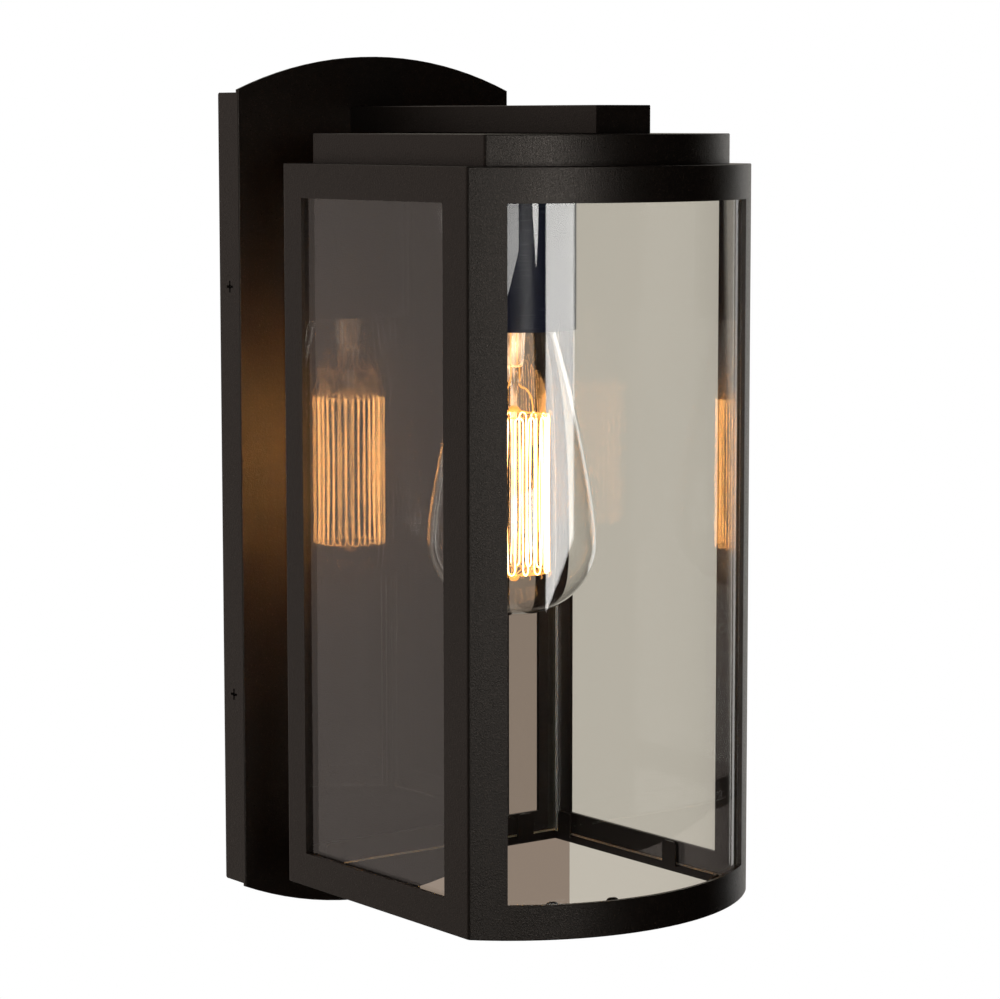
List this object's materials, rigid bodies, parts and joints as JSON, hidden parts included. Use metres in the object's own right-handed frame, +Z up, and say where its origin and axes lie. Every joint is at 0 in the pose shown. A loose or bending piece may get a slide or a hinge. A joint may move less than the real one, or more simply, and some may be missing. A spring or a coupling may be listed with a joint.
{
  "type": "outdoor wall lantern",
  "caption": "Bow-front outdoor wall lantern: arched backplate, long arm, stepped roof, glazed D-shaped frame with an open bottom, and a screw-in squirrel-cage lamp.",
  "frame": {"origin": "centre of the backplate on the wall plane", "axes": "+Z up, +Y into the wall (outward normal of the wall side), +X to the right of a person facing the wall; the lantern stands out along -Y"},
  "size_m": [0.1324, 0.1947, 0.342],
  "materials": {
    "black_powder_coat": "fine textured matt black powder coat",
    "cup_paint": "satin blue-black paint",
    "zinc_steel": "zinc-plated",
    "green_steel": "green zinc",
    "window_glass": "clear float glass",
    "phenolic": "moulded black",
    "brass": "plain",
    "cap_metal": "bright rolled",
    "solder": "solder",
    "lamp_glass": "clear thin glass",
    "filament_wire": "glowing wire",
    "lead_black": "sleeved lead",
    "lead_white": "sleeved lead",
    "connector_plastic": "moulded"
  },
  "bodies": {
    "lantern": {"backplate": "black_powder_coat", "arm": "black_powder_coat", "roof_upper": "black_powder_coat", "roof_cap": "black_powder_coat", "post_back_left": "black_powder_coat", "post_back_right": "black_powder_coat", "post_front_left": "black_powder_coat", "post_front_right": "black_powder_coat", "bottom_band": "black_powder_coat", "glass_tabs_bottom": "black_powder_coat", "glass_tabs_top": "black_powder_coat", "side_screws": "black_powder_coat", "socket_cup": "cup_paint", "wall_bracket": "zinc_steel", "arm_end_block": "zinc_steel", "arm_screws": "zinc_steel", "nipple": "zinc_steel", "nipple_nut": "zinc_steel", "ground_screw": "green_steel", "glass_left": "window_glass", "glass_right": "window_glass", "glass_back": "window_glass", "glass_front": "window_glass", "socket_cover": "phenolic", "socket_body": "phenolic", "socket_shell": "brass", "socket_centre_contact": "brass", "socket_terminals": "brass", "lead_live": "lead_black", "lead_neutral": "lead_white", "wire_connectors": "connector_plastic"},
    "bulb_tip": {"bulb_insulator": "phenolic", "bulb_contact": "solder"},
    "bulb": {"bulb_cap": "cap_metal", "bulb_glass": "lamp_glass", "bulb_stem": "lamp_glass", "bulb_lead_wires": "filament_wire", "filament_supports": "filament_wire", "bulb_filament": "filament_wire"}
  },
  "joints": [
    {"name": "bulb_travel", "type": "slide", "parent": "lantern", "child": "bulb_tip", "axis": [0, 0, 1], "range_m": [-0.02016, 0]},
    {"name": "bulb_turn", "type": "hinge", "parent": "bulb_tip", "child": "bulb", "pos_m": [0, -0.1059, 0.08], "axis": [0, 0, 1], "range_deg": [-1980, 0]}
  ],
  "couplings": [
    {"joint": "bulb_travel", "follows": "bulb_turn", "m_per_rad": 0.00057757}
  ]
}
